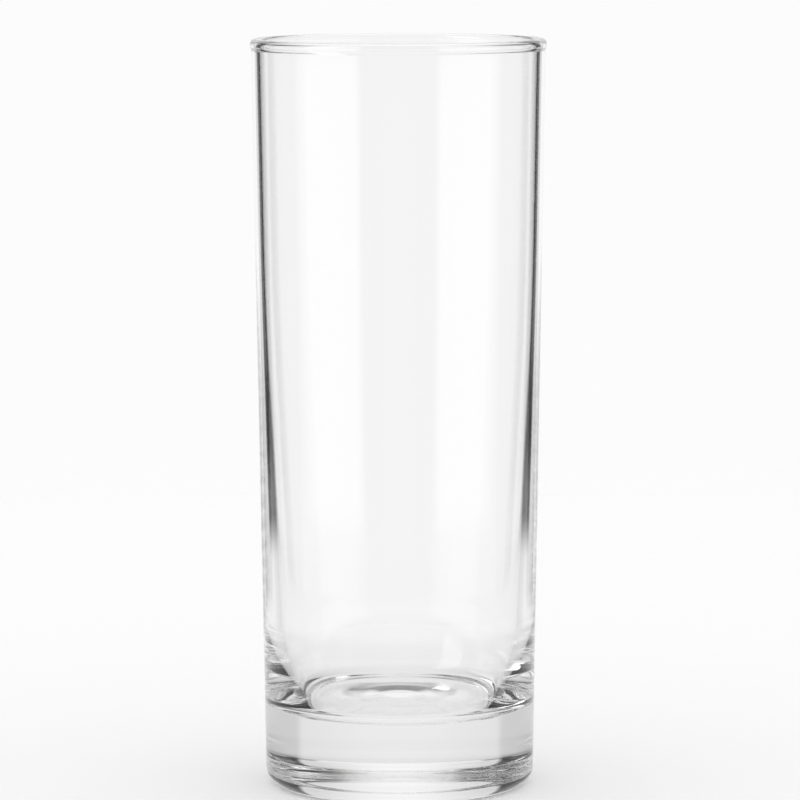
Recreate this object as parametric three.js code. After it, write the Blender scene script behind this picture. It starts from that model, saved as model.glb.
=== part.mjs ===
// A clear highball tumbler: one piece of glass with a thick base, a wall that
// thickens towards it and a rolled, fire-polished rim. Nothing on it moves.
// Millimetres, +Z up, origin on the table in the middle of the foot.

import * as THREE from 'three';

// Outside
const HEIGHT = 165;
const RIM_DIAMETER = 65;
const FOOT_DIAMETER = 59.2;
const HEEL_RADIUS = 3.8;

// Underside: a flat ring that the glass stands on, round a shallow hollow
const BEARING_RING_WIDTH = 4;
const UNDERSIDE_HOLLOW = 0.8;

// Wall, and the round bead of the rim, which stands out from both faces of the wall
const WALL = 1.85;
const BEAD_STAND_OUT = 0.25;
const BEAD_HEIGHT = 2.3;
const BEAD_FLARE = 0.4;
const BEAD_FILLET_RADIUS = 1.5;

// Inside: below one bend the wall thickens, and below a second one it turns in towards the
// floor, which it meets in a round corner
const BASE_THICKNESS = 16.8;
const BEND_HEIGHT = 104;
const BEND_RADIUS = 1100;
const LOW_BEND_HEIGHT = 28;
const LOW_BEND_DIAMETER = 51.6;
const LOW_BEND_RADIUS = 70;
const FLOOR_DIAMETER = 44.5;
const FLOOR_CORNER_RADIUS = 4.1;
const FLOOR_RING_PITCH = 7;
const FLOOR_RING_DEPTH = 0.3;

// Facets
const SIDES = 72;
const ARC_STEP = Math.PI / 12;
const LEAST_ARC_STEPS = 4;
const UNDERSIDE_STEPS = 5;
const STEPS_PER_FLOOR_RING = 6;

// Clear soda-lime glass
const GLASS = new THREE.MeshStandardMaterial({
  color: 0xf1f5f3,
  roughness: 0.03,
  metalness: 0,
  transparent: true,
  opacity: 0.35,
});

const footRadius = FOOT_DIAMETER / 2;
const rimRadius = RIM_DIAMETER / 2;
const beadRadius = WALL / 2 + BEAD_STAND_OUT;
const neckRadius = rimRadius - BEAD_STAND_OUT;
const neckHeight = HEIGHT - BEAD_HEIGHT;

// The outer wall runs straight from the foot to the neck below the bead
function outerRadius(height) {
  return THREE.MathUtils.mapLinear(height, 0, neckHeight, footRadius, neckRadius);
}

function corner(radius, height, rounding = 0) {
  return { at: new THREE.Vector2(radius, height), rounding };
}

// The outline's sharp corners, from the axis under the foot to the axis on the inner floor
function outlineCorners() {
  const innerRim = rimRadius - 2 * beadRadius;
  const beadFoot = neckHeight + BEAD_FLARE;
  return [
    corner(0, 0),
    corner(footRadius, 0, HEEL_RADIUS),
    corner(neckRadius, neckHeight, BEAD_FILLET_RADIUS),
    corner(rimRadius, beadFoot, beadRadius),
    corner(rimRadius, HEIGHT, beadRadius),
    corner(innerRim, HEIGHT, beadRadius),
    corner(innerRim, beadFoot, beadRadius),
    corner(neckRadius - WALL, neckHeight, BEAD_FILLET_RADIUS),
    corner(outerRadius(BEND_HEIGHT) - WALL, BEND_HEIGHT, BEND_RADIUS),
    corner(LOW_BEND_DIAMETER / 2, LOW_BEND_HEIGHT, LOW_BEND_RADIUS),
    corner(FLOOR_DIAMETER / 2, BASE_THICKNESS, FLOOR_CORNER_RADIUS),
    corner(0, BASE_THICKNESS),
  ];
}

// How far a corner's rounding reaches along the sides that meet there
function roundingReach({ at, rounding }, i, corners) {
  if (rounding === 0) {
    return 0;
  }
  const back = corners[i - 1].at.clone().sub(at);
  const ahead = corners[i + 1].at.clone().sub(at);
  return rounding / Math.tan(back.angleTo(ahead) / 2);
}

// Two roundings on one side shrink together where that side is too short for both
function fittedShare(corners, reaches, i) {
  const share = (j) => corners[j].at.distanceTo(corners[j + 1].at) / (reaches[j] + reaches[j + 1]);
  return Math.min(1, share(i - 1), share(i));
}

function roundedCorner(corners, reaches, i) {
  const { at, rounding } = corners[i];
  const share = fittedShare(corners, reaches, i);
  const back = corners[i - 1].at.clone().sub(at).setLength(reaches[i] * share);
  const ahead = corners[i + 1].at.clone().sub(at).setLength(reaches[i] * share);
  const radius = rounding * share;
  const toCentre = Math.hypot(reaches[i] * share, radius);
  const centre = back.clone().add(ahead).setLength(toCentre).add(at);
  const from = back.add(at).sub(centre);
  const to = ahead.add(at).sub(centre);
  const steps = Math.max(LEAST_ARC_STEPS, Math.round(from.angleTo(to) / ARC_STEP));
  const clockwise = from.cross(to) < 0;
  return new THREE.EllipseCurve(
    centre.x, centre.y, radius, radius, from.angle(), to.angle(), clockwise,
  ).getPoints(steps);
}

// From the middle of the hollow to the inner edge of the bearing ring
function undersideOutline(ringOuterRadius) {
  const edge = ringOuterRadius - BEARING_RING_WIDTH;
  const points = [];
  for (let step = 0; step <= UNDERSIDE_STEPS; step += 1) {
    const share = step / UNDERSIDE_STEPS;
    points.push(new THREE.Vector2(edge * share, UNDERSIDE_HOLLOW * (1 - share ** 2)));
  }
  return points;
}

// Faint rings in the inner floor, from its edge to the axis
function floorOutline(edge) {
  const rings = Math.max(1, Math.round(edge / FLOOR_RING_PITCH));
  const steps = rings * STEPS_PER_FLOOR_RING;
  const points = [];
  for (let step = 1; step <= steps; step += 1) {
    const share = 1 - step / steps;
    const dip = FLOOR_RING_DEPTH * (1 - Math.cos(2 * Math.PI * rings * share)) / 2;
    points.push(new THREE.Vector2(edge * share, BASE_THICKNESS - dip));
  }
  return points;
}

// From the axis under the foot, out and up the outside, over the rim and down the inside
function glassOutline() {
  const corners = outlineCorners();
  const reaches = corners.map(roundingReach);
  const rounded = [];
  for (let i = 1; i < corners.length - 1; i += 1) {
    rounded.push(...roundedCorner(corners, reaches, i));
  }
  const ringOuterRadius = rounded[0].x;
  const floorEdge = rounded[rounded.length - 1].x;
  return [...undersideOutline(ringOuterRadius), ...rounded, ...floorOutline(floorEdge)];
}

function glassBody() {
  const geometry = new THREE.LatheGeometry(glassOutline(), SIDES);
  geometry.rotateX(Math.PI / 2);
  const mesh = new THREE.Mesh(geometry, GLASS);
  mesh.name = 'glass_body';
  return mesh;
}

const tumbler = new THREE.Group();
tumbler.name = 'tumbler';
tumbler.add(glassBody());

export default tumbler;
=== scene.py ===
"""A clear highball tumbler on a white sweep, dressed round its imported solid."""

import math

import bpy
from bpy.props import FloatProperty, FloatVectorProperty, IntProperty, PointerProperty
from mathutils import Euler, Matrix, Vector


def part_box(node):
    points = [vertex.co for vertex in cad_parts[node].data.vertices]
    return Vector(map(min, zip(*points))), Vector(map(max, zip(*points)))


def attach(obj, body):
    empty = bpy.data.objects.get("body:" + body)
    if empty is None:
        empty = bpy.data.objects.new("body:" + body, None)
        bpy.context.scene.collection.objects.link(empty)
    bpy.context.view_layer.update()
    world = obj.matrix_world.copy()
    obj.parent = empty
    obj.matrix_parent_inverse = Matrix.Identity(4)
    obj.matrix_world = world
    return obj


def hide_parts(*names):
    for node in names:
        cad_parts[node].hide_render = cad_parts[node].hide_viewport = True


bl_info = {
    "name": "Highball tumbler",
    "version": (1, 0, 0),
    "blender": (4, 5, 0),
    "location": "3D View > Sidebar > Tumbler",
    "description": "Makes a clear highball tumbler and the white stage that it stands on",
    "category": "Add Mesh",
}

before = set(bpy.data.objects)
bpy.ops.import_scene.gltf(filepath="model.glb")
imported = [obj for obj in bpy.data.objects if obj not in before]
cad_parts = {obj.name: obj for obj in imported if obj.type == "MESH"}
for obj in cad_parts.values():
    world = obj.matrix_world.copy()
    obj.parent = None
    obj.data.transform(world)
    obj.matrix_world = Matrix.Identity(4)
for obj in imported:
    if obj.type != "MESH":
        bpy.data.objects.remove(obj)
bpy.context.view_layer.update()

MM = 0.001
BODY = "root"
NODE = "glass_body"
GLASS_LOW, GLASS_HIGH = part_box(NODE)
GLASS_WIDTH = (GLASS_HIGH.x - GLASS_LOW.x) / MM
GLASS_HEIGHT = (GLASS_HIGH.z - GLASS_LOW.z) / MM

# The camera: the photograph is square, and its pixels set the focal length. The sensor is in
# millimetres, distances are in metres and angles in radians.
IMAGE_PIXELS = 800
SENSOR_WIDTH = 36.0
FOCAL_PIXELS = 4792.4
AXIS_PIXEL = 398.98
CAMERA_DISTANCE = 1.051
CAMERA_HEIGHT = 0.20425
CAMERA_TILT = 0.11268
CAMERA_ROLL = -0.0019
CLIP_END = 20.0

# Light that the camera finds beside the glass, and light that falls on the sweep
BACKDROP = 0.972
SOFT_LIGHT = 1.0

# Light runs up inside the wall, so a ray may need many turns before it leaves the glass
BOUNCES = 1024

# How much the light that falls through the glass onto the sweep is blurred
SHADOW_BLUR = 0.4

# What stands round the glass, seen through it and mirrored in it. Behind it is a white panel
# between two black flags, narrower below the horizon and narrowest at its foot. In front is a dim
# room, and below the horizon a grey table with a bright strip on each side. Further down is pale
# ground, and overhead are a light wall and a white ceiling. These are their levels of light.
PANEL = 0.95
PANEL_SIDE = 0.68
FLAG = 0.01
ROOM = 0.01
GROUND = 0.9
TABLE = 0.7
STRIP = 1.2
HIGH_WALL = 0.8
HIGH_SIDE_WALL = 0.6
CEILING = 0.96
CEILING_SIDE = 0.95

# Where they end by bearing, in degrees from straight behind the glass to either side
PANEL_FALL = 18.0
PANEL_FALL_SOFTNESS = 16.0
PANEL_EDGE = 37.0
FLAG_EDGE = 63.0
LOW_PANEL_EDGE = 27.5
LOW_FLAG_EDGE = 46.0
FOOT_PANEL_EDGE = 8.0
FOOT_PANEL_SOFTNESS = 6.0
STRIP_START = 92.0
STRIP_END = 147.0
HIGH_WALL_TURN = 40.0
HIGH_WALL_END = 100.0
CEILING_TURN = 50.0
EDGE_SOFTNESS = 2.5
TURN_SOFTNESS = 15.0

# Where they end by rise, in degrees from the horizon
GROUND_RISE = -23.0
FOOT_RISE = -14.0
FOOT_RISE_SOFTNESS = 3.0
HORIZON = 0.5
HORIZON_SOFTNESS = 2.0
HIGH_WALL_RISE = 47.0
CEILING_RISE = 64.0
RISE_SOFTNESS = 6.0

# A window on the left, in front of the glass: negative bearings are to the left
WINDOW = 1.7
WINDOW_LEFT = -130.0
WINDOW_RIGHT = -102.0
WINDOW_FOOT = 6.0
WINDOW_TOP = 55.0

# The sweep, in metres: it lies a hair below the foot and fades into the backdrop, and it ends
# sooner where the glass shows it
SWEEP_HALF = 3.0
SWEEP_DROP = -0.0001
FADE_START = 0.25
FADE_END = 0.6
SWEEP_END = 0.26
SWEEP_END_SOFTNESS = 0.03

# The card's shine, and the painted light that it gives off as the glass shows it: in front of the
# glass, under it, close behind it, further behind it and beside it. They stand in for how the card
# is lit round the glass, and the lowest, under it, is a painted shadow of the glass.
SWEEP_IOR = 1.2
SWEEP_ROUGHNESS = 0.2
SWEEP_FRONT = 0.9
SWEEP_UNDER = 0.75
SWEEP_NEAR = 0.9
SWEEP_BEHIND = 1.0
SWEEP_BESIDE = 0.8
UNDER_START = -0.013
NEAR_START = 0.045
BEHIND_START = 0.11
BESIDE_START = 0.165
SWEEP_SOFTNESS = 0.025
BESIDE_SOFTNESS = 0.05

# Glass: its grey tint, its ripples, and the scuffs on the ring that it stands on. Their grain is
# coarser than on real glass, where it would be too fine to show.
GLASS_IOR = 1.52
TINT_DENSITY = 0.8
RIPPLE_LENGTH = 40 * MM
RIPPLE_HEIGHT = 2.2 * MM
RIPPLE_DEPTH = 0.0005 * MM
SCUFF_REACH = 0.05 * MM
SCUFF_GRAIN = 0.8 * MM
SCUFF_ROUGHNESS = 0.3

# Points of the outline closer than this are one point
WELD = 0.001 * MM


def length(name, description, millimetres):
    """A size that a user would change, given in millimetres and kept in metres."""
    return FloatProperty(
        name=name,
        description=description,
        default=millimetres * MM,
        subtype="DISTANCE",
        unit="LENGTH",
        precision=5,
    )


def hex_to_linear(code):
    """An sRGB hex colour as linear red, green, blue and alpha."""
    channels = [int(code[i:i + 2], 16) / 255 for i in (1, 3, 5)]
    linear = [c / 12.92 if c <= 0.04045 else ((c + 0.055) / 1.055) ** 2.4 for c in channels]
    return (*linear, 1.0)


def colour(name, description, code):
    """A colour that a user would change, given as an sRGB hex value."""
    return FloatVectorProperty(
        name=name,
        description=description,
        default=hex_to_linear(code),
        subtype="COLOR",
        size=4,
        min=0.0,
        max=1.0,
    )


WHITE = hex_to_linear("#ffffff")


class TumblerSizes(bpy.types.PropertyGroup):
    """Driving sizes of the glass."""

    height: length("Height", "From the table to the top of the rim", GLASS_HEIGHT)
    rim_diameter: length("Rim diameter", "Across the outside of the bead", GLASS_WIDTH)
    foot_diameter: length("Foot diameter", "Outer wall carried down to the table", 59.2)
    heel_radius: length("Heel radius", "Rounding between the wall and the underside", 3.8)
    ring_width: length("Bearing ring width", "Flat ring that the glass stands on", 4.0)
    hollow: length("Underside hollow", "Depth of the hollow inside the bearing ring", 0.8)
    wall: length("Wall", "Thickness of the wall above the bend", 1.85)
    bead_stand_out: length("Bead stand-out", "How far the bead stands out from each face", 0.25)
    bead_height: length("Bead height", "From the top of the rim to the plain wall", 2.3)
    bead_flare: length("Bead flare", "Height over which the wall swells into the bead", 0.4)
    bead_fillet: length("Bead fillet", "Rounding between the wall and the bead", 1.5)
    base: length("Base thickness", "From the table to the inner floor", 16.8)
    bend_height: length("Bend height", "Where the thickening of the wall sets in", 104.0)
    bend_radius: length("Bend radius", "Rounding of that bend", 1100.0)
    low_bend_height: length("Low bend height", "Where the wall turns in towards the floor", 28.0)
    low_bend_diameter: length("Low bend diameter", "Across the inside of the wall there", 51.6)
    low_bend_radius: length("Low bend radius", "Rounding of that bend", 70.0)
    floor_diameter: length("Floor diameter", "Inner floor before its corner is rounded", 44.5)
    floor_corner: length("Floor corner radius", "Rounding between the floor and the wall", 4.1)
    ring_pitch: length("Floor ring pitch", "Spacing of the faint rings in the floor", 7.0)
    ring_depth: length("Floor ring depth", "Depth of those rings", 0.3)


class TumblerFineness(bpy.types.PropertyGroup):
    """How finely the glass is cut into faces."""

    sides: IntProperty(name="Sides", description="Faces round the glass", default=256, min=24)
    arc_points: IntProperty(
        name="Arc points", description="Points along each rounded corner", default=24, min=2
    )
    step: length("Step", "Longest face along a straight stretch", 2.5)


class TumblerLook(bpy.types.PropertyGroup):
    """Colours of the glass and of the sweep."""

    glass_tint: colour("Glass tint", "What is left of white light deep in the glass", "#d6dad4")
    sweep: colour("Sweep", "Card that the glass stands on", "#fdfdfd")


def add(tree, kind, inputs=None, **settings):
    """Adds one node with its settings, its plain values and its links."""
    node = tree.nodes.new(kind)
    for name, value in settings.items():
        setattr(node, name, value)
    for key, value in (inputs or {}).items():
        if isinstance(value, bpy.types.NodeSocket):
            tree.links.new(value, node.inputs[key])
        else:
            node.inputs[key].default_value = value
    return node


def outline_corners(sizes):
    """The outline's sharp corners in order, each by name as its radius, height and rounding."""
    foot = sizes.foot_diameter / 2
    rim = sizes.rim_diameter / 2
    bead = sizes.wall / 2 + sizes.bead_stand_out
    inner_rim = rim - 2 * bead
    neck = rim - sizes.bead_stand_out
    neck_height = sizes.height - sizes.bead_height
    bead_foot = neck_height + sizes.bead_flare
    bend_share = sizes.bend_height / neck_height
    bend = foot + (neck - foot) * bend_share - sizes.wall
    return {
        "under middle": (0.0, 0.0, 0.0),
        "heel": (foot, 0.0, sizes.heel_radius),
        "neck": (neck, neck_height, sizes.bead_fillet),
        "bead foot": (rim, bead_foot, bead),
        "bead top": (rim, sizes.height, bead),
        "inner bead top": (inner_rim, sizes.height, bead),
        "inner bead foot": (inner_rim, bead_foot, bead),
        "inner neck": (neck - sizes.wall, neck_height, sizes.bead_fillet),
        "bend": (bend, sizes.bend_height, sizes.bend_radius),
        "low bend": (sizes.low_bend_diameter / 2, sizes.low_bend_height, sizes.low_bend_radius),
        "floor edge": (sizes.floor_diameter / 2, sizes.base, sizes.floor_corner),
        "floor middle": (0.0, sizes.base, 0.0),
    }


def revolve_tree(corners, values):
    """The tree that rounds the glass's outline and turns it about the upright axis."""
    tree = bpy.data.node_groups.new("tumbler_revolve", "GeometryNodeTree")
    tree.interface.new_socket("Geometry", in_out="OUTPUT", socket_type="NodeSocketGeometry")
    for name in corners:
        tree.interface.new_socket(name, in_out="INPUT", socket_type="NodeSocketVector")
    for name, (kind, _) in values.items():
        tree.interface.new_socket(name, in_out="INPUT", socket_type=kind)
    given = add(tree, "NodeGroupInput").outputs

    # A chain of points takes up the corners one by one, and each corner is rounded
    index = add(tree, "GeometryNodeInputIndex").outputs[0]
    corner = add(tree, "GeometryNodeIndexSwitch", {"Index": index}, data_type="VECTOR")
    while len(corner.index_switch_items) < len(corners):
        corner.index_switch_items.new()
    for place, name in enumerate(corners, start=1):
        tree.links.new(given[name], corner.inputs[place])
    apart = add(tree, "ShaderNodeSeparateXYZ", {0: corner.outputs[0]}).outputs
    place = add(tree, "ShaderNodeCombineXYZ", {"X": apart["X"], "Y": apart["Y"]})
    line = add(tree, "GeometryNodeMeshLine", {"Count": len(corners)})
    chain = add(tree, "GeometryNodeMeshToCurve", {"Mesh": line.outputs[0]})
    sharp = add(
        tree, "GeometryNodeSetPosition",
        {"Geometry": chain.outputs[0], "Position": place.outputs[0]},
    )
    rounded = add(
        tree, "GeometryNodeFilletCurve",
        {
            "Curve": sharp.outputs[0],
            "Count": given["arc points"],
            "Radius": apart["Z"],
            "Limit Radius": True,
        },
        mode="POLY",
    )

    # Long stretches are cut into short ones before the underside and the floor are shaped
    here = add(tree, "GeometryNodeInputPosition").outputs[0]
    following = add(tree, "ShaderNodeMath", {0: index, 1: 1.0}, operation="ADD")
    there = add(
        tree, "GeometryNodeFieldAtIndex", {"Index": following.outputs[0], "Value": here},
        data_type="FLOAT_VECTOR", domain="POINT",
    )
    gap = add(tree, "ShaderNodeVectorMath", {0: here, 1: there.outputs[0]}, operation="DISTANCE")
    cuts = add(
        tree, "ShaderNodeMath", {0: gap.outputs["Value"], 1: given["step"]}, operation="DIVIDE"
    )
    fine = add(
        tree, "GeometryNodeSubdivideCurve", {"Curve": rounded.outputs[0], "Cuts": cuts.outputs[0]}
    )
    hollowed = hollow_underside(tree, fine.outputs[0], here, given)
    ringed = ring_floor(tree, hollowed, here, given)

    # The outline runs round a circular rail, moved in by the rail's radius so that it starts and
    # ends on the axis. It is mirrored to stand upright there, and the faces are turned outwards.
    rail = add(
        tree, "GeometryNodeCurvePrimitiveCircle",
        {"Resolution": given["sides"], "Radius": given["rail radius"]},
    )
    inward = add(
        tree, "ShaderNodeVectorMath",
        {0: (-1.0, 0.0, 0.0), "Scale": given["rail radius"]}, operation="SCALE",
    )
    profile = add(
        tree, "GeometryNodeTransform",
        {"Geometry": ringed, "Translation": inward.outputs[0], "Scale": (1.0, -1.0, 1.0)},
    )
    swept = add(
        tree, "GeometryNodeCurveToMesh",
        {"Curve": rail.outputs[0], "Profile Curve": profile.outputs[0]},
    )
    closed = add(
        tree, "GeometryNodeMergeByDistance", {"Geometry": swept.outputs[0], "Distance": WELD}
    )
    outward = add(tree, "GeometryNodeFlipFaces", {"Mesh": closed.outputs[0]})
    smooth = add(tree, "GeometryNodeSetShadeSmooth", {"Geometry": outward.outputs[0]})
    real = add(tree, "GeometryNodeRealizeInstances", {"Geometry": smooth.outputs[0]})
    glazed = add(
        tree, "GeometryNodeSetMaterial",
        {"Geometry": real.outputs[0], "Material": given["material"]},
    )
    add(tree, "NodeGroupOutput", {0: glazed.outputs[0]})
    return tree


def hollow_underside(tree, outline, here, given):
    """Lifts the underside inside the bearing ring into a shallow dome."""
    apart = add(tree, "ShaderNodeSeparateXYZ", {0: here}).outputs
    share = add(
        tree, "ShaderNodeMath", {0: apart["X"], 1: given["ring edge"]},
        operation="DIVIDE", use_clamp=True,
    )
    square = add(tree, "ShaderNodeMath", {0: share.outputs[0], 1: 2.0}, operation="POWER")
    left = add(tree, "ShaderNodeMath", {0: 1.0, 1: square.outputs[0]}, operation="SUBTRACT")
    lift = add(
        tree, "ShaderNodeMath", {0: left.outputs[0], 1: given["hollow"]}, operation="MULTIPLY"
    )
    up = add(tree, "ShaderNodeCombineXYZ", {"Y": lift.outputs[0]})
    under = add(tree, "FunctionNodeCompare", {"A": apart["Y"], "B": WELD}, operation="LESS_THAN")
    return add(
        tree, "GeometryNodeSetPosition",
        {"Geometry": outline, "Selection": under.outputs[0], "Offset": up.outputs[0]},
    ).outputs[0]


def ring_floor(tree, outline, here, given):
    """Presses faint rings into the inner floor."""
    apart = add(tree, "ShaderNodeSeparateXYZ", {0: here}).outputs
    turns = add(
        tree, "ShaderNodeMath", {0: apart["X"], 1: given["ring pitch"]}, operation="DIVIDE"
    )
    angle = add(tree, "ShaderNodeMath", {0: turns.outputs[0], 1: math.tau}, operation="MULTIPLY")
    wave = add(tree, "ShaderNodeMath", {0: angle.outputs[0]}, operation="COSINE")
    # The wave less one runs from 0 to -2, so half the depth sinks the rings to all of it
    dip = add(tree, "ShaderNodeMath", {0: wave.outputs[0], 1: 1.0}, operation="SUBTRACT")
    half = add(tree, "ShaderNodeMath", {0: given["ring depth"], 1: 0.5}, operation="MULTIPLY")
    sink = add(
        tree, "ShaderNodeMath", {0: dip.outputs[0], 1: half.outputs[0]}, operation="MULTIPLY"
    )
    down = add(tree, "ShaderNodeCombineXYZ", {"Y": sink.outputs[0]})
    level = add(
        tree, "FunctionNodeCompare",
        {"A": apart["Y"], "B": given["base"], "Epsilon": WELD}, operation="EQUAL",
    )
    return add(
        tree, "GeometryNodeSetPosition",
        {"Geometry": outline, "Selection": level.outputs[0], "Offset": down.outputs[0]},
    ).outputs[0]


def soda_lime_glass(look):
    """Clear soda-lime glass, shaped in a mould and polished in the fire."""
    # The fire leaves a clean gloss, the mould leaves faint level ripples that fray the dark edges
    # of the wall, and use scuffs the ring that the glass stands on. Only the thick base is deep
    # enough to show the grey of the glass.
    material = bpy.data.materials.new("clear_soda_lime_glass")
    material.use_nodes = True
    tree = material.node_tree
    tree.nodes.clear()
    place = add(tree, "ShaderNodeTexCoord").outputs["Object"]
    stretched = add(
        tree, "ShaderNodeMapping",
        {"Vector": place, "Scale": (1 / RIPPLE_LENGTH, 1 / RIPPLE_LENGTH, 1 / RIPPLE_HEIGHT)},
    )
    ripple = add(
        tree, "ShaderNodeTexNoise", {"Vector": stretched.outputs[0], "Scale": 1.0, "Detail": 1.0}
    )
    bump = add(tree, "ShaderNodeBump", {"Height": ripple.outputs[0], "Distance": RIPPLE_DEPTH})
    apart = add(tree, "ShaderNodeSeparateXYZ", {0: place})
    bearing_ring = add(
        tree, "ShaderNodeMapRange",
        {
            "Value": apart.outputs["Z"],
            "From Max": SCUFF_REACH,
            "To Min": SCUFF_ROUGHNESS,
            "To Max": 0.0,
        },
    )
    grain = add(tree, "ShaderNodeTexNoise", {"Vector": place, "Scale": 1 / SCUFF_GRAIN})
    scuffs = add(
        tree, "ShaderNodeMath", {0: bearing_ring.outputs[0], 1: grain.outputs[0]},
        operation="MULTIPLY",
    )
    surface = add(
        tree, "ShaderNodeBsdfPrincipled",
        {
            "Base Color": WHITE,
            "Roughness": scuffs.outputs[0],
            "IOR": GLASS_IOR,
            "Transmission Weight": 1.0,
            "Normal": bump.outputs[0],
        },
    )
    inside = add(
        tree, "ShaderNodeVolumeAbsorption", {"Color": look.glass_tint, "Density": TINT_DENSITY}
    )
    add(
        tree, "ShaderNodeOutputMaterial",
        {"Surface": surface.outputs[0], "Volume": inside.outputs[0]},
    )
    return material


class TUMBLER_OT_glass(bpy.types.Operator):
    """Make the glass"""

    bl_idname = "tumbler.glass"
    bl_label = "Glass"

    def execute(self, context):
        """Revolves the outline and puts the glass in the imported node's place."""
        sizes = context.scene.tumbler_sizes
        fineness = context.scene.tumbler_fineness
        corners = outline_corners(sizes)
        ring_edge = sizes.foot_diameter / 2 - sizes.heel_radius - sizes.ring_width
        values = {
            "ring edge": ("NodeSocketFloat", ring_edge),
            "hollow": ("NodeSocketFloat", sizes.hollow),
            "base": ("NodeSocketFloat", sizes.base),
            "ring pitch": ("NodeSocketFloat", sizes.ring_pitch),
            "ring depth": ("NodeSocketFloat", sizes.ring_depth),
            "rail radius": ("NodeSocketFloat", sizes.rim_diameter),
            "sides": ("NodeSocketInt", fineness.sides),
            "arc points": ("NodeSocketInt", fineness.arc_points),
            "step": ("NodeSocketFloat", fineness.step),
            "material": ("NodeSocketMaterial", soda_lime_glass(context.scene.tumbler_look)),
        }
        tree = revolve_tree(corners, values)
        holder = bpy.data.objects.new("glass_holder", bpy.data.meshes.new("glass_holder"))
        context.scene.collection.objects.link(holder)
        modifier = holder.modifiers.new("revolve", "NODES")
        modifier.node_group = tree
        for item in tree.interface.items_tree:
            if item.name in corners:
                modifier[item.identifier] = corners[item.name]
            elif item.name in values:
                modifier[item.identifier] = values[item.name][1]
        evaluated = holder.evaluated_get(context.evaluated_depsgraph_get())
        mesh = bpy.data.meshes.new_from_object(evaluated)
        mesh.name = "tumbler_glass"
        bpy.data.objects.remove(holder)
        if not mesh.polygons:
            raise RuntimeError("The glass came out empty")
        glass = bpy.data.objects.new("tumbler_glass", mesh)
        context.scene.collection.objects.link(glass)
        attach(glass, BODY)
        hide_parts(NODE)
        return {"FINISHED"}


def in_steps(tree, value, first, steps):
    """A level that goes over from the first to the next round the place of each step."""
    level = first
    for place, softness, following in steps:
        level = add(
            tree, "ShaderNodeMapRange",
            {
                "Value": value,
                "From Min": place - softness,
                "From Max": place + softness,
                "To Min": level,
                "To Max": following,
            },
            interpolation_type="SMOOTHSTEP",
        ).outputs[0]
    return level


def surroundings(tree, turn, rise):
    """Light that comes to the glass from round about, by turn and rise in degrees."""
    bearing = add(tree, "ShaderNodeMath", {0: turn}, operation="ABSOLUTE").outputs[0]
    foot = in_steps(tree, bearing, PANEL, (
        (FOOT_PANEL_EDGE, FOOT_PANEL_SOFTNESS, FLAG),
        (LOW_FLAG_EDGE, EDGE_SOFTNESS, TABLE),
        (STRIP_START, EDGE_SOFTNESS, STRIP),
        (STRIP_END, EDGE_SOFTNESS, TABLE),
    ))
    low = in_steps(tree, bearing, PANEL, (
        (LOW_PANEL_EDGE, EDGE_SOFTNESS, FLAG),
        (LOW_FLAG_EDGE, EDGE_SOFTNESS, TABLE),
        (STRIP_START, EDGE_SOFTNESS, STRIP),
        (STRIP_END, EDGE_SOFTNESS, TABLE),
    ))
    level = in_steps(tree, bearing, PANEL, (
        (PANEL_FALL, PANEL_FALL_SOFTNESS, PANEL_SIDE),
        (PANEL_EDGE, EDGE_SOFTNESS, FLAG),
        (FLAG_EDGE, EDGE_SOFTNESS, ROOM),
    ))
    high = in_steps(tree, bearing, HIGH_WALL, (
        (HIGH_WALL_TURN, TURN_SOFTNESS, HIGH_SIDE_WALL),
        (HIGH_WALL_END, TURN_SOFTNESS, ROOM),
    ))
    ceiling = in_steps(tree, bearing, CEILING, ((CEILING_TURN, TURN_SOFTNESS, CEILING_SIDE),))
    around = in_steps(tree, rise, GROUND, (
        (GROUND_RISE, FOOT_RISE_SOFTNESS, foot),
        (FOOT_RISE, FOOT_RISE_SOFTNESS, low),
        (HORIZON, HORIZON_SOFTNESS, level),
        (HIGH_WALL_RISE, RISE_SOFTNESS, high),
        (CEILING_RISE, RISE_SOFTNESS, ceiling),
    ))
    window = in_steps(tree, rise, around, (
        (WINDOW_FOOT, EDGE_SOFTNESS, WINDOW),
        (WINDOW_TOP, EDGE_SOFTNESS, around),
    ))
    return in_steps(tree, turn, around, (
        (WINDOW_LEFT, EDGE_SOFTNESS, window),
        (WINDOW_RIGHT, EDGE_SOFTNESS, around),
    ))


def make_world(scene):
    """The light round the glass, and the plain light that the sweep and the camera find."""
    world = bpy.data.worlds.new("studio")
    scene.world = world
    world.use_nodes = True
    tree = world.node_tree
    tree.nodes.clear()
    direction = add(tree, "ShaderNodeTexCoord").outputs["Generated"]
    apart = add(tree, "ShaderNodeSeparateXYZ", {0: direction}).outputs
    swing = add(tree, "ShaderNodeMath", {0: apart["X"], 1: apart["Y"]}, operation="ARCTAN2")
    turn = add(tree, "ShaderNodeMath", {0: swing.outputs[0]}, operation="DEGREES")
    climb = add(tree, "ShaderNodeMath", {0: apart["Z"]}, operation="ARCSINE")
    rise = add(tree, "ShaderNodeMath", {0: climb.outputs[0]}, operation="DEGREES")
    around = surroundings(tree, turn.outputs[0], rise.outputs[0])
    # A ray that the glass bent or mirrored finds the surroundings, the camera finds the backdrop,
    # and light on its way to the sweep is plain, also through the glass. Later rows go first.
    path = add(tree, "ShaderNodeLightPath").outputs
    scattered = add(tree, "ShaderNodeMath", {0: path["Diffuse Depth"], 1: 1.0}, operation="MINIMUM")
    level = SOFT_LIGHT
    for ray, value in (
        (path["Is Glossy Ray"], around),
        (path["Is Transmission Ray"], around),
        (path["Is Camera Ray"], BACKDROP),
        (scattered.outputs[0], SOFT_LIGHT),
    ):
        level = add(
            tree, "ShaderNodeMix", {"Factor": ray, "A": level, "B": value}, data_type="FLOAT"
        ).outputs[0]
    light = add(tree, "ShaderNodeBackground", {"Color": WHITE, "Strength": level})
    add(tree, "ShaderNodeOutputWorld", {"Surface": light.outputs[0]})


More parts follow.
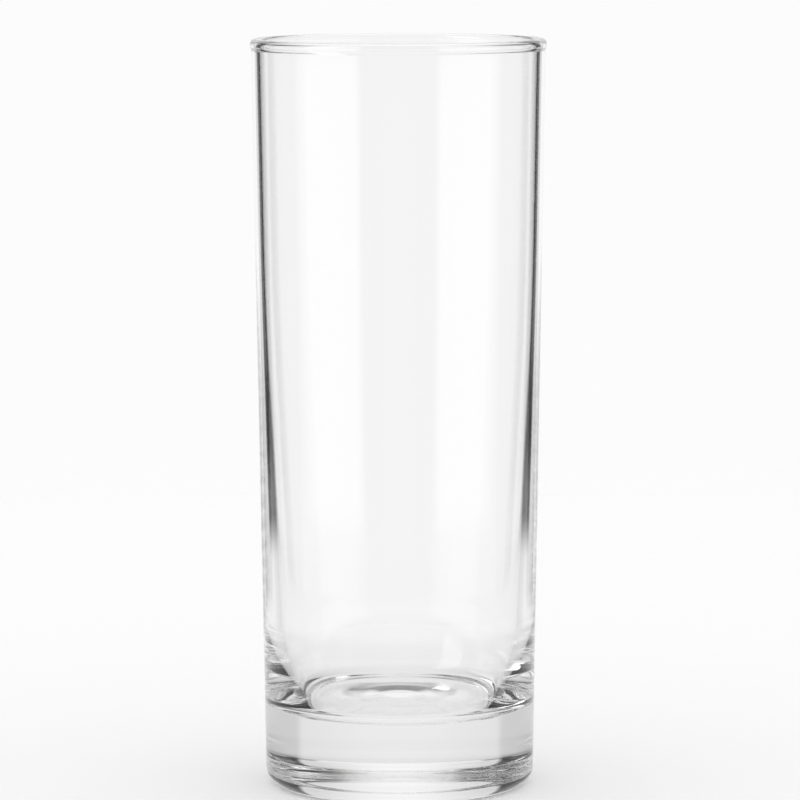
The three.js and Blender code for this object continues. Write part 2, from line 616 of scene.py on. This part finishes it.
def white_card(look):
    """Smooth white card, which glows with painted light where the glass shows it."""
    # Matt and white to the camera, it shines a little at the low angle at which the glass shows it.
    # There it glows with painted light set by place, which stands in for its own shading and for
    # the glass's shadow on it.
    material = bpy.data.materials.new("smooth_white_card")
    material.use_nodes = True
    tree = material.node_tree
    tree.nodes.clear()
    place = add(tree, "ShaderNodeTexCoord").outputs["Object"]
    path = add(tree, "ShaderNodeLightPath").outputs
    apart = add(tree, "ShaderNodeSeparateXYZ", {0: place})
    aside = add(tree, "ShaderNodeMath", {0: apart.outputs["X"]}, operation="ABSOLUTE")
    # Painted light by place: dimmest under the glass as its painted shadow, and dimmer beside it as
    # painted shade
    behind = in_steps(tree, apart.outputs["Y"], SWEEP_FRONT, (
        (UNDER_START, SWEEP_SOFTNESS, SWEEP_UNDER),
        (NEAR_START, SWEEP_SOFTNESS, SWEEP_NEAR),
        (BEHIND_START, SWEEP_SOFTNESS, SWEEP_BEHIND),
    ))
    seen = in_steps(tree, aside.outputs[0], behind, (
        (BESIDE_START, BESIDE_SOFTNESS, SWEEP_BESIDE),
    ))
    # The card glows with these painted levels instead of being lit
    painted_glow = add(tree, "ShaderNodeEmission", {"Color": WHITE, "Strength": seen})
    gloss = add(tree, "ShaderNodeBsdfGlossy", {"Roughness": SWEEP_ROUGHNESS})
    mirror = add(tree, "ShaderNodeFresnel", {"IOR": SWEEP_IOR})
    sheen = add(
        tree, "ShaderNodeMath", {0: mirror.outputs[0], 1: path["Is Transmission Ray"]},
        operation="MULTIPLY",
    )
    # Painted glow, with a real gloss mixed in by Fresnel for rays through the glass
    painted_light_and_gloss = add(
        tree, "ShaderNodeMixShader", {0: sheen.outputs[0], 1: painted_glow.outputs[0], 2: gloss.outputs[0]}
    )
    matt = add(tree, "ShaderNodeBsdfDiffuse", {"Color": look.sweep})
    bent = add(
        tree, "ShaderNodeMath", {0: path["Is Glossy Ray"], 1: path["Is Transmission Ray"]},
        operation="MAXIMUM",
    )
    in_glass = add(
        tree, "ShaderNodeMath", {0: bent.outputs[0], 1: path["Diffuse Depth"]},
        operation="SUBTRACT", use_clamp=True,
    )
    card = add(
        tree, "ShaderNodeMixShader",
        {0: in_glass.outputs[0], 1: matt.outputs[0], 2: painted_light_and_gloss.outputs[0]},
    )
    away = add(tree, "ShaderNodeVectorMath", {0: place}, operation="LENGTH")
    fade = add(
        tree, "ShaderNodeMapRange",
        {"Value": away.outputs["Value"], "From Min": FADE_START, "From Max": FADE_END},
        interpolation_type="SMOOTHSTEP",
    )
    end = in_steps(tree, away.outputs["Value"], 0.0, ((SWEEP_END, SWEEP_END_SOFTNESS, 1.0),))
    gone = add(
        tree, "ShaderNodeMix", {"Factor": in_glass.outputs[0], "A": fade.outputs[0], "B": end},
        data_type="FLOAT",
    )
    clear = add(tree, "ShaderNodeBsdfTransparent")
    fading = add(
        tree, "ShaderNodeMixShader", {0: gone.outputs[0], 1: card.outputs[0], 2: clear.outputs[0]}
    )
    add(tree, "ShaderNodeOutputMaterial", {"Surface": fading.outputs[0]})
    return material


def make_sweep(scene):
    """The white sweep, which fades into the backdrop."""
    mesh = bpy.data.meshes.new("sweep")
    sides = ((-1, -1), (1, -1), (1, 1), (-1, 1))
    corners = [(x * SWEEP_HALF, y * SWEEP_HALF, SWEEP_DROP) for x, y in sides]
    mesh.from_pydata(corners, [], [(0, 1, 2, 3)])
    mesh.materials.append(white_card(scene.tumbler_look))
    sweep = bpy.data.objects.new("sweep", mesh)
    scene.collection.objects.link(sweep)


def make_camera(scene):
    """The photograph's camera."""
    camera = bpy.data.cameras.new("camera")
    camera.sensor_width = SENSOR_WIDTH
    camera.lens = FOCAL_PIXELS / IMAGE_PIXELS * SENSOR_WIDTH
    camera.shift_x = (IMAGE_PIXELS / 2 - AXIS_PIXEL) / IMAGE_PIXELS
    camera.clip_end = CLIP_END
    holder = bpy.data.objects.new("camera", camera)
    scene.collection.objects.link(holder)
    holder.location = (0.0, -CAMERA_DISTANCE, CAMERA_HEIGHT)
    upright = Euler((math.pi / 2 - CAMERA_TILT, 0.0, 0.0)).to_matrix()
    holder.rotation_euler = (upright @ Matrix.Rotation(CAMERA_ROLL, 3, "Z")).to_euler()
    scene.camera = holder


def set_light_paths(scene):
    """Plain colours, and enough turns for the light inside the glass."""
    scene.view_settings.view_transform = "Standard"
    scene.cycles.max_bounces = BOUNCES
    scene.cycles.transmission_bounces = BOUNCES
    scene.cycles.glossy_bounces = BOUNCES
    scene.cycles.blur_glossy = SHADOW_BLUR


class TUMBLER_OT_stage(bpy.types.Operator):
    """Make the sweep, the light and the camera"""

    bl_idname = "tumbler.stage"
    bl_label = "Stage"

    def execute(self, context):
        """Sets the stage round the glass."""
        make_world(context.scene)
        make_sweep(context.scene)
        make_camera(context.scene)
        set_light_paths(context.scene)
        return {"FINISHED"}


class TUMBLER_PT_panel(bpy.types.Panel):
    """Lists the pieces, their sizes and their colours"""

    bl_idname = "TUMBLER_PT_panel"
    bl_label = "Highball tumbler"
    bl_space_type = "VIEW_3D"
    bl_region_type = "UI"
    bl_category = "Tumbler"

    def draw(self, context):
        """Draws the operators' buttons and the properties below them."""
        for operator in (TUMBLER_OT_glass, TUMBLER_OT_stage):
            self.layout.operator(operator.bl_idname)
        scene = context.scene
        for group in (scene.tumbler_sizes, scene.tumbler_fineness, scene.tumbler_look):
            for name in type(group).__annotations__:
                self.layout.prop(group, name)


CLASSES = (
    TumblerSizes,
    TumblerFineness,
    TumblerLook,
    TUMBLER_OT_glass,
    TUMBLER_OT_stage,
    TUMBLER_PT_panel,
)


def register():
    """Makes the classes and the scene's properties known."""
    for cls in CLASSES:
        bpy.utils.register_class(cls)
    bpy.types.Scene.tumbler_sizes = PointerProperty(type=TumblerSizes)
    bpy.types.Scene.tumbler_fineness = PointerProperty(type=TumblerFineness)
    bpy.types.Scene.tumbler_look = PointerProperty(type=TumblerLook)


def unregister():
    """Takes the properties and the classes away again."""
    del bpy.types.Scene.tumbler_look
    del bpy.types.Scene.tumbler_fineness
    del bpy.types.Scene.tumbler_sizes
    for cls in reversed(CLASSES):
        bpy.utils.unregister_class(cls)


def main():
    register()
    bpy.ops.tumbler.glass()
    bpy.ops.tumbler.stage()


if __name__ == "__main__":
    main()
